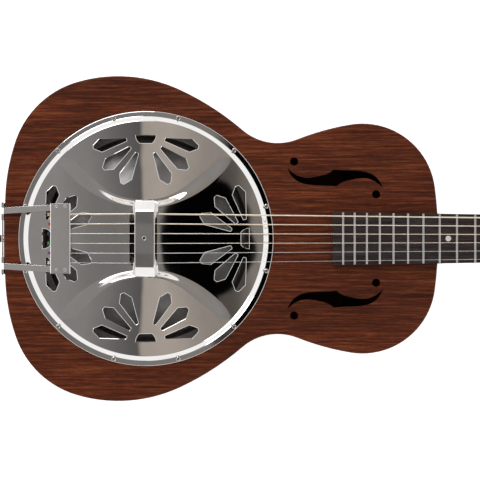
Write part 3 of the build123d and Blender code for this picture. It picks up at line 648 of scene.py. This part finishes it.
def smooth_as_pressed(mesh):
    """Give the sheet's faces the exact normals of its height, so that reflections run smoothly."""
    step = 0.05 * MM
    co = np.array([v.co[:] for v in mesh.vertices])
    x, y = co[:, 0], co[:, 1]
    slope_x = (cover_height(x + step, y) - cover_height(x - step, y)) / (2 * step)
    slope_y = (cover_height(x, y + step) - cover_height(x, y - step)) / (2 * step)
    exact = np.stack([-slope_x, -slope_y, np.ones_like(x)], -1)
    exact /= np.linalg.norm(exact, axis=1)[:, None]
    normals = []
    for face in mesh.polygons:
        for k in face.vertices:
            agrees = (face.normal.dot(Vector(exact[k])) > 0.94
                      and math.hypot(*co[k, :2]) < COVER_R - 1.2 * MM)
            normals.append(tuple(exact[k]) if agrees else tuple(face.normal))
    mesh.polygons.foreach_set("use_smooth", [True] * len(mesh.polygons))
    mesh.normals_split_custom_set(normals)


piece(make_cover(), "guitar", "cover_chrome", "coverplate")
piece(make_lips(), "guitar", "cover_chrome")


# ---------------------------------------------------------------- hand rest

REST_TOP = 113.8     # millimetres


def curve_through(knots, count):
    """Points evenly spread along a smooth curve through knots."""
    knots = np.array(knots, float)
    run = np.concatenate([[0], np.cumsum(np.linalg.norm(np.diff(knots, axis=0), axis=1))])
    slope = np.gradient(knots, run, axis=0)
    at = np.linspace(0, run[-1], count)
    k = np.clip(np.searchsorted(run, at, "right") - 1, 0, len(run) - 2)
    span = (run[k + 1] - run[k])[:, None]
    t = ((at - run[k]) / (run[k + 1] - run[k]))[:, None]
    return ((2 * t**3 - 3 * t**2 + 1) * knots[k] + (t**3 - 2 * t**2 + t) * slope[k] * span
            + (3 * t**2 - 2 * t**3) * knots[k + 1] + (t**3 - t**2) * slope[k + 1] * span)


def make_hand_rest():
    """The hand rest: an arched strap with rolled edges and skirts that flare at its feet, and its hole."""
    half = [(42.6, 99.4), (41.0, 102.2), (37.2, 105.7), (33.4, 109.2), (30.7, 111.0), (26.5, 112.2),
            (20, 113.0), (11, 113.6)]
    knots = half + [(0, REST_TOP)] + [(-y, z) for y, z in reversed(half)]
    spine = curve_through(knots, 97)
    heading = np.gradient(spine, axis=0)
    heading /= np.linalg.norm(heading, axis=1)[:, None]
    normal = np.stack([heading[:, 1], -heading[:, 0]], 1)
    middle, half_width, roll, thick, skirt = -0.65, 10.95, 1.1, 1.0, 4.2
    points, faces = [], []
    for (y, z), (ny, nz) in zip(spine, normal):
        open_out = float(ease((abs(y) - 15) / 24))
        section = []
        for side, flare in ((1, 0.25 + 3.3 * open_out), (-1, 0.25 + 2.0 * open_out)):
            arc = [(half_width - roll + roll * math.sin(a), -roll + roll * math.cos(a))
                   for a in np.linspace(0, math.pi / 2, 7)]
            arc = [(x, h + side * 0.022 * min(x, half_width - roll)) for x, h in arc]
            outer = [(0, 0), (5, side * 0.11)] + arc
            outer += [(half_width + 0.3 * flare, -0.6 * skirt), (half_width + flare, -skirt)]
            inner = [(half_width + flare - thick, -skirt - 0.1),
                     (half_width + 0.3 * flare - thick, -0.6 * skirt), (half_width - thick, -roll - 0.3),
                     (half_width - roll - 0.3, -thick), (5, -thick)]
            ring = [(side * x, h) for x, h in outer + inner]
            section += ring if side > 0 else ring[:0:-1]
            if side > 0:
                section.append((0, -thick))
        for x, h in section:
            points.append((COVER.x + (middle + x) * MM, (y + h * ny) * MM, (z + h * nz) * MM))
    size = len(section)
    for i in range(len(spine) - 1):
        for j in range(size):
            a, b = i * size + j, i * size + (j + 1) % size
            faces.append((a, b, b + size, a + size))
    faces += [tuple(reversed(range(size))), tuple(range(len(points) - size, len(points)))]
    rest = mesh_object("hand_rest_shell", points, faces, chrome_edge, smooth=38)
    facing_out(rest)
    hole = (COVER.x - 1.0 * MM, 0.5 * MM)
    drilled(rest, mesh_object("drill", *prism(disc(2.3 * MM, hole, 32), 0.10, 0.12), chrome_edge))
    flat_faced(rest)
    return rest, hole


rest_shell, rest_hole = make_hand_rest()
piece(rest_shell, "guitar", "rest_chrome", "hand_rest")
grommet = [(1.7, -1.5), (1.7, -0.6), (1.8, -0.35), (2.1, -0.05), (2.45, 0.06), (2.7, 0.0), (2.7, -0.6),
           (2.35, -1.2), (1.7, -1.5)]
rest_eye = mesh_object("hand_rest_eye", *lathed(in_metres(grommet),
                       Matrix.Translation((*rest_hole, REST_TOP * MM))), chrome_edge, smooth=60)
facing_out(rest_eye)
piece(rest_eye, "guitar", "rest_chrome")


# ---------------------------------------------------------------- tailpiece

def bent(corners, thick, radius, steps=6):
    """Outline of a sheet bent along corners, its thickness to the right of the way."""
    path = []
    for i, corner in enumerate(corners):
        c = Vector(corner)
        if i in (0, len(corners) - 1):
            path.append(c)
            continue
        before = (Vector(corners[i - 1]) - c).normalized()
        after = (Vector(corners[i + 1]) - c).normalized()
        half = before.angle(after) / 2
        hub = c + (before + after).normalized() * radius / math.sin(half)
        start = c + before * radius / math.tan(half) - hub
        turn = (math.pi - 2 * half) * (1 if before.cross(after) < 0 else -1)
        path += [hub + Matrix.Rotation(turn * k / steps, 2) @ start for k in range(steps + 1)]
    inner = []
    for k, point in enumerate(path):
        along = (path[min(k + 1, len(path) - 1)] - path[max(k - 1, 0)]).normalized()
        inner.append(point + Vector((along.y, -along.x)) * thick)
    return [tuple(p) for p in path + inner[::-1]]


def make_tailpiece():
    """Folded plate, two arms with hinge knuckles and the marks of the spot welds."""
    box_low, box_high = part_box("tailpiece")
    front, top = box_high.x, box_high.z
    depth, fall, half_width = 22.2 * MM, 0.9 * MM, 38.3 * MM
    rear = front - depth
    plate_path = [(rear, top - 5.2 * MM), (rear, top - fall), (front, top), (front, top - 5.8 * MM)]
    parts = [slab(bent(plate_path, 0.9 * MM, 1.35 * MM), lambda x: -half_width, lambda x: half_width)]
    pin_x, pin_z = box_low.x + 1.9 * MM, box_low.z + 1.9 * MM
    arm_path = [(pin_x - 1.4 * MM, pin_z + 1.4 * MM), (pin_x + 1.2 * MM, pin_z + 5.6 * MM),
                (front - 22.6 * MM, top - 1.95 * MM), (front - 2.1 * MM, top - 1.1 * MM)]
    arm_outline = bent(arm_path, 1.4 * MM, 3.0 * MM)

    def arm_edge(side, at_pin, at_plate):
        """Y over X of an arm's edge, from its millimetres off the middle at the pin and at the plate."""
        slope = (at_plate - at_pin) / (front - 2.1 * MM - pin_x)
        return lambda x: side * (at_pin + slope * (x - pin_x)) * MM

    for side in (1, -1):
        edges = [arm_edge(side, 26.9, 31.2), arm_edge(side, 33.7, 38.0)][::side]
        parts.append(slab(arm_outline, *edges))
        turn = Matrix.Translation((pin_x, side * 30.3 * MM, pin_z)) @ Matrix.Rotation(math.pi / 2, 4, "X")
        knuckle = [(0.95, -3.35), (1.7, -3.35), (1.9, -3.1), (1.9, 3.1), (1.7, 3.35), (0.95, 3.35),
                   (0.95, -3.35)]
        parts.append(lathed(in_metres(knuckle), turn, 24))
    made = mesh_object("tailpiece_sheet", *joined(*parts), tail_metal, smooth=40)
    facing_out(made)
    bevelled(made, 0.22 * MM, 2, 55)
    marks, mark_r = [], 1.35 * MM
    for x in (5.9 * MM, 15.4 * MM):
        for y in (35.1 * MM, -34.2 * MM):
            back = [x - mark_r * math.cos(math.tau * k / 24) for k in range(24)]
            ring = [(front - b, y + mark_r * math.sin(math.tau * k / 24), top - fall * b / depth)
                    for k, b in enumerate(back)]
            marks.append(swept(ring, 0.17 * MM, 8, closed=True))
    return made, mesh_object("tailpiece_welds", *joined(*marks), tail_metal, smooth=60)


for made, nodes in zip(make_tailpiece(), (("tailpiece",), ())):
    piece(made, "guitar", "tail_chrome", *nodes)


# ---------------------------------------------------------------- strings

# Lengths in this part are millimetres. Heights at the ball ends and the saddle are from the floor, those
# at the nut and the posts from the neck's and the headstock's planes
NECK_TILT, HEAD_TILT = math.radians(1), math.radians(15)
JOINT = Vector((COVER.x + 0.321, 0, TOP_Z))
WIRES = (0.71, 0.53, 0.41, 0.31, 0.22, 0.17)
STATIONS = (45.0, 88.0, 131.0, 131.0, 88.0, 45.0)
BALL_BACK, BALL_SPREAD, BALL_Z = 105.4, 52.7, 97.0
SADDLE_SPREAD, SADDLE_Z = 54.0, 103.3
NUT_AT, NUT_SPREAD, NUT_Z = 317.5, 38.7, 7.9
HEAD_AT, POST_Y, POST_Z, WAIST_R = 322.5, 21, 10.5, 2.75
PITCH, COIL_ROOM, COIL_STEPS = 2.02, 2.7, 20     # pitch in wire radii, most height, points in a turn


def tilted(origin, angle, x, y, z):
    """A point given in millimetres along, across and above a tilted plane."""
    c, s = math.cos(angle), math.sin(angle)
    return origin + Vector((x * c + z * s, y, z * c - x * s)) * MM


HEAD = tilted(JOINT, NECK_TILT, HEAD_AT, 0, 0)
SPOOL = [(0.75, -1.7), (1.75, -1.7), (2.05, -1.4), (2.05, -0.95), (1.5, -0.55), (1.5, 0.55), (2.05, 0.95),
         (2.05, 1.4), (1.75, 1.7), (0.75, 1.7), (0.75, -1.7)]


def string_path(share, side, wire, station, ball):
    """A string's straight run from its ball end over the saddle and the nut to its post."""
    corners = [ball + Vector((0.8 * MM, 0, 0)),
               Vector((COVER.x, SADDLE_SPREAD * share * MM, (SADDLE_Z + wire) * MM)),
               tilted(JOINT, NECK_TILT, NUT_AT, NUT_SPREAD * share, NUT_Z + wire),
               tilted(HEAD, HEAD_TILT, station, side * (POST_Y - WAIST_R - 0.05 - wire), POST_Z)]
    path = [corners[0]]
    for before, corner, after in zip(corners, corners[1:], corners[2:]):
        path.append(corner + (before - corner).normalized() * 1.2 * MM)
        path.append(corner + (after - corner).normalized() * 1.2 * MM)
    return path + [corners[-1]]


def string_turns(wire, station, side):
    """The turns of a string on its post."""
    path, reach = [], WAIST_R + wire
    turns = min(5, COIL_ROOM / (PITCH * wire))
    for k in range(int(turns * COIL_STEPS) + 1):
        a = side * (-math.pi / 2 + math.tau * k / COIL_STEPS)
        path.append(tilted(HEAD, HEAD_TILT, station + reach * math.cos(a),
                           side * POST_Y + reach * math.sin(a), POST_Z - PITCH * wire * k / COIL_STEPS))
    return path


for number, (wire, station) in enumerate(zip(WIRES, STATIONS), 1):
    share, side = 0.5 - (number - 1) / 5, 1 if number < 4 else -1
    material, slot = (bronze_wound, "string_bronze") if number < 5 else (plain_wire, "string_steel")
    ball = Vector((COVER.x - BALL_BACK * MM, BALL_SPREAD * share * MM, BALL_Z * MM))
    run = swept(string_path(share, side, wire, station, ball), wire * MM)
    piece(mesh_object(f"string_run_{number}", *run, material, 50), "guitar", slot, f"string_{number}")
    turn = Matrix.Translation(ball) @ Matrix.Rotation(math.pi / 2, 4, "X")
    colour = plain(f"ball_end_{number}", BALL_COLOURS[number - 1], rough=0.3, grain=900, coat=0.4)
    spool = mesh_object(f"ball_end_{number}", *lathed(in_metres(SPOOL), turn, 24), colour, 35)
    facing_out(spool)
    piece(spool, "guitar", slot)
    coil = swept(string_turns(wire, station, side), wire * MM, 10)
    piece(mesh_object(f"string_turns_{number}", *coil, material, 50), f"post_{number}", slot)


# ---------------------------------------------------------------- stage, light and camera

def paper(name):
    """Matt white paper that glows a little, like a lit table."""
    s = Shader(name)
    s.join(s.ramp(s.noise(s.place(grey(400)), detail=3), (0.3, grey(0.90)), (0.7, grey(0.92))),
           s.bsdf.inputs["Base Color"])
    s.set(Roughness=0.85, Specular_IOR_Level=0.1, Emission_Color=(1, 1, 1, 1), Emission_Strength=0.75)
    return s.material


floor = mesh_object("floor", [(-4, -4, 0), (4, -4, 0), (4, 4, 0), (-4, 4, 0)], [(0, 1, 2, 3)],
                    paper("floor_paper"))


def make_world():
    """Soft white studio: white all round, a ceiling of greys that the chrome mirrors, a dark hole in it."""
    world = bpy.data.worlds.new("studio")
    bpy.context.scene.world = world
    world.use_nodes = True
    tree = world.node_tree
    tree.nodes.clear()
    add, join = tree.nodes.new, tree.links.new

    def feed(value, socket):
        """Join a socket or set a number or a grey."""
        if not isinstance(value, (int, float)):
            join(value, socket)
        elif socket.type == "RGBA":
            socket.default_value = (value, value, value, 1)
        else:
            socket.default_value = value

    def math_node(kind, *values):
        node = add("ShaderNodeMath")
        node.operation = kind
        for value, socket in zip(values, node.inputs):
            feed(value, socket)
        return node.outputs[0]

    def over(under, mask, top):
        """Colour top laid over colour under; each is a socket or a grey."""
        node = add("ShaderNodeMix")
        node.data_type = "RGBA"
        for value, socket in ((mask, node.inputs[0]), (under, node.inputs[6]), (top, node.inputs[7])):
            feed(value, socket)
        return node.outputs[2]

    coords = add("ShaderNodeTexCoord")
    split = add("ShaderNodeSeparateXYZ")
    join(coords.outputs["Generated"], split.inputs[0])
    x, y, z = split.outputs
    up = math_node("MAXIMUM", z, 0.02)
    across = math_node("DIVIDE", x, up)
    along = math_node("DIVIDE", y, up)

    def edge(value, at, soft, start, end):
        """A soft change from start to end where value passes at."""
        node = add("ShaderNodeMapRange")
        node.interpolation_type = "SMOOTHSTEP"
        join(value, node.inputs["Value"])
        inputs = node.inputs
        inputs["From Min"].default_value, inputs["From Max"].default_value = at - soft, at + soft
        inputs["To Min"].default_value, inputs["To Max"].default_value = start, end
        return node.outputs[0]

    def band(value, half, soft):
        """One where value lies within half of nothing, softly ended."""
        return math_node("MULTIPLY", edge(value, -half, soft, 0, 1), edge(value, half, soft, 1, 0))

    def row(*stops):
        """Greys and warm greys of the ceiling from left to right; each stop is place, grey and warmth."""
        node = add("ShaderNodeValToRGB")
        ramp = node.color_ramp
        while len(ramp.elements) < len(stops):
            ramp.elements.new(0.5)
        for element, (at, value, warm) in zip(ramp.elements, stops):
            element.position = at + 0.5
            element.color = (value, value * (0.965 - 0.075 * warm), value * (0.945 - 0.145 * warm), 1)
        join(math_node("ADD", across, 0.5), node.inputs[0])
        return node.outputs[0]

    # What the lobes mirror, and between them what the low dome mirrors
    sides = row((-0.5, 0.22, 0), (-0.22, 0.205, 0), (-0.13, 0.125, 0), (-0.055, 0.088, 0), (-0.042, 0.34, 1),
                (0.035, 0.37, 1), (0.14, 0.26, 1), (0.30, 0.22, 1), (0.5, 0.24, 0.5))
    middle = row((-0.5, 0.22, 0), (-0.17, 0.23, 0), (-0.117, 0.165, 0), (-0.08, 0.15, 0), (-0.02, 0.19, 0),
                 (0.0, 0.18, 0.5), (0.03, 0.10, 1), (0.07, 0.060, 1), (0.10, 0.09, 1), (0.125, 0.20, 1),
                 (0.16, 0.20, 0.5), (0.3, 0.22, 0))
    ceiling = over(sides, band(along, 0.145, 0.015), middle)

    # The dark hole, longer along the guitar's width than across it
    da, dl = math_node("SUBTRACT", across, 0.058), math_node("MULTIPLY", along, 0.78)
    away = math_node("SQRT", math_node("ADD", math_node("MULTIPLY", da, da), math_node("MULTIPLY", dl, dl)))
    ceiling = over(ceiling, edge(away, 0.071, 0.003, 1, 0), 0.0005)

    overhead = math_node("MULTIPLY", band(across, 1.2, 0.25), band(along, 1.9, 0.25))
    background = add("ShaderNodeBackground")
    join(over(0.9, overhead, ceiling), background.inputs["Color"])
    background.inputs["Strength"].default_value = 1.3
    out = add("ShaderNodeOutputWorld")
    join(background.outputs[0], out.inputs["Surface"])


make_world()


def soft_light(name, at, size, power):
    """A white rectangular lamp that looks at the guitar's body."""
    light = bpy.data.lights.new(name, "AREA")
    light.shape, light.size, light.size_y = "RECTANGLE", size[0], size[1]
    light.energy = power
    lamp = bpy.data.objects.new(name, light)
    bpy.context.scene.collection.objects.link(lamp)
    lamp.location = at
    lamp.rotation_euler = (Vector((-0.1, 0, 0)) - Vector(at)).to_track_quat("-Z", "Y").to_euler()


soft_light("key", (-1.2, 2.2, 2.0), (1.6, 1.6), 36)
soft_light("fill", (1.6, -2.0, 1.6), (1.6, 1.2), 18)

# A long lens straight above; the view's width and middle are metres on the soundboard
LENS, SENSOR = 200.0, 36.0
VIEW_WIDTH = 0.5256
VIEW_X, VIEW_Y = COVER.x + 0.1029, -0.0016
camera_data = bpy.data.cameras.new("camera")
camera_data.lens, camera_data.sensor_width = LENS, SENSOR
camera = bpy.data.objects.new("camera", camera_data)
bpy.context.scene.collection.objects.link(camera)
bpy.context.scene.camera = camera
camera.location = (VIEW_X, VIEW_Y, TOP_Z + VIEW_WIDTH * LENS / SENSOR)
bpy.context.scene.view_settings.view_transform = "Standard"
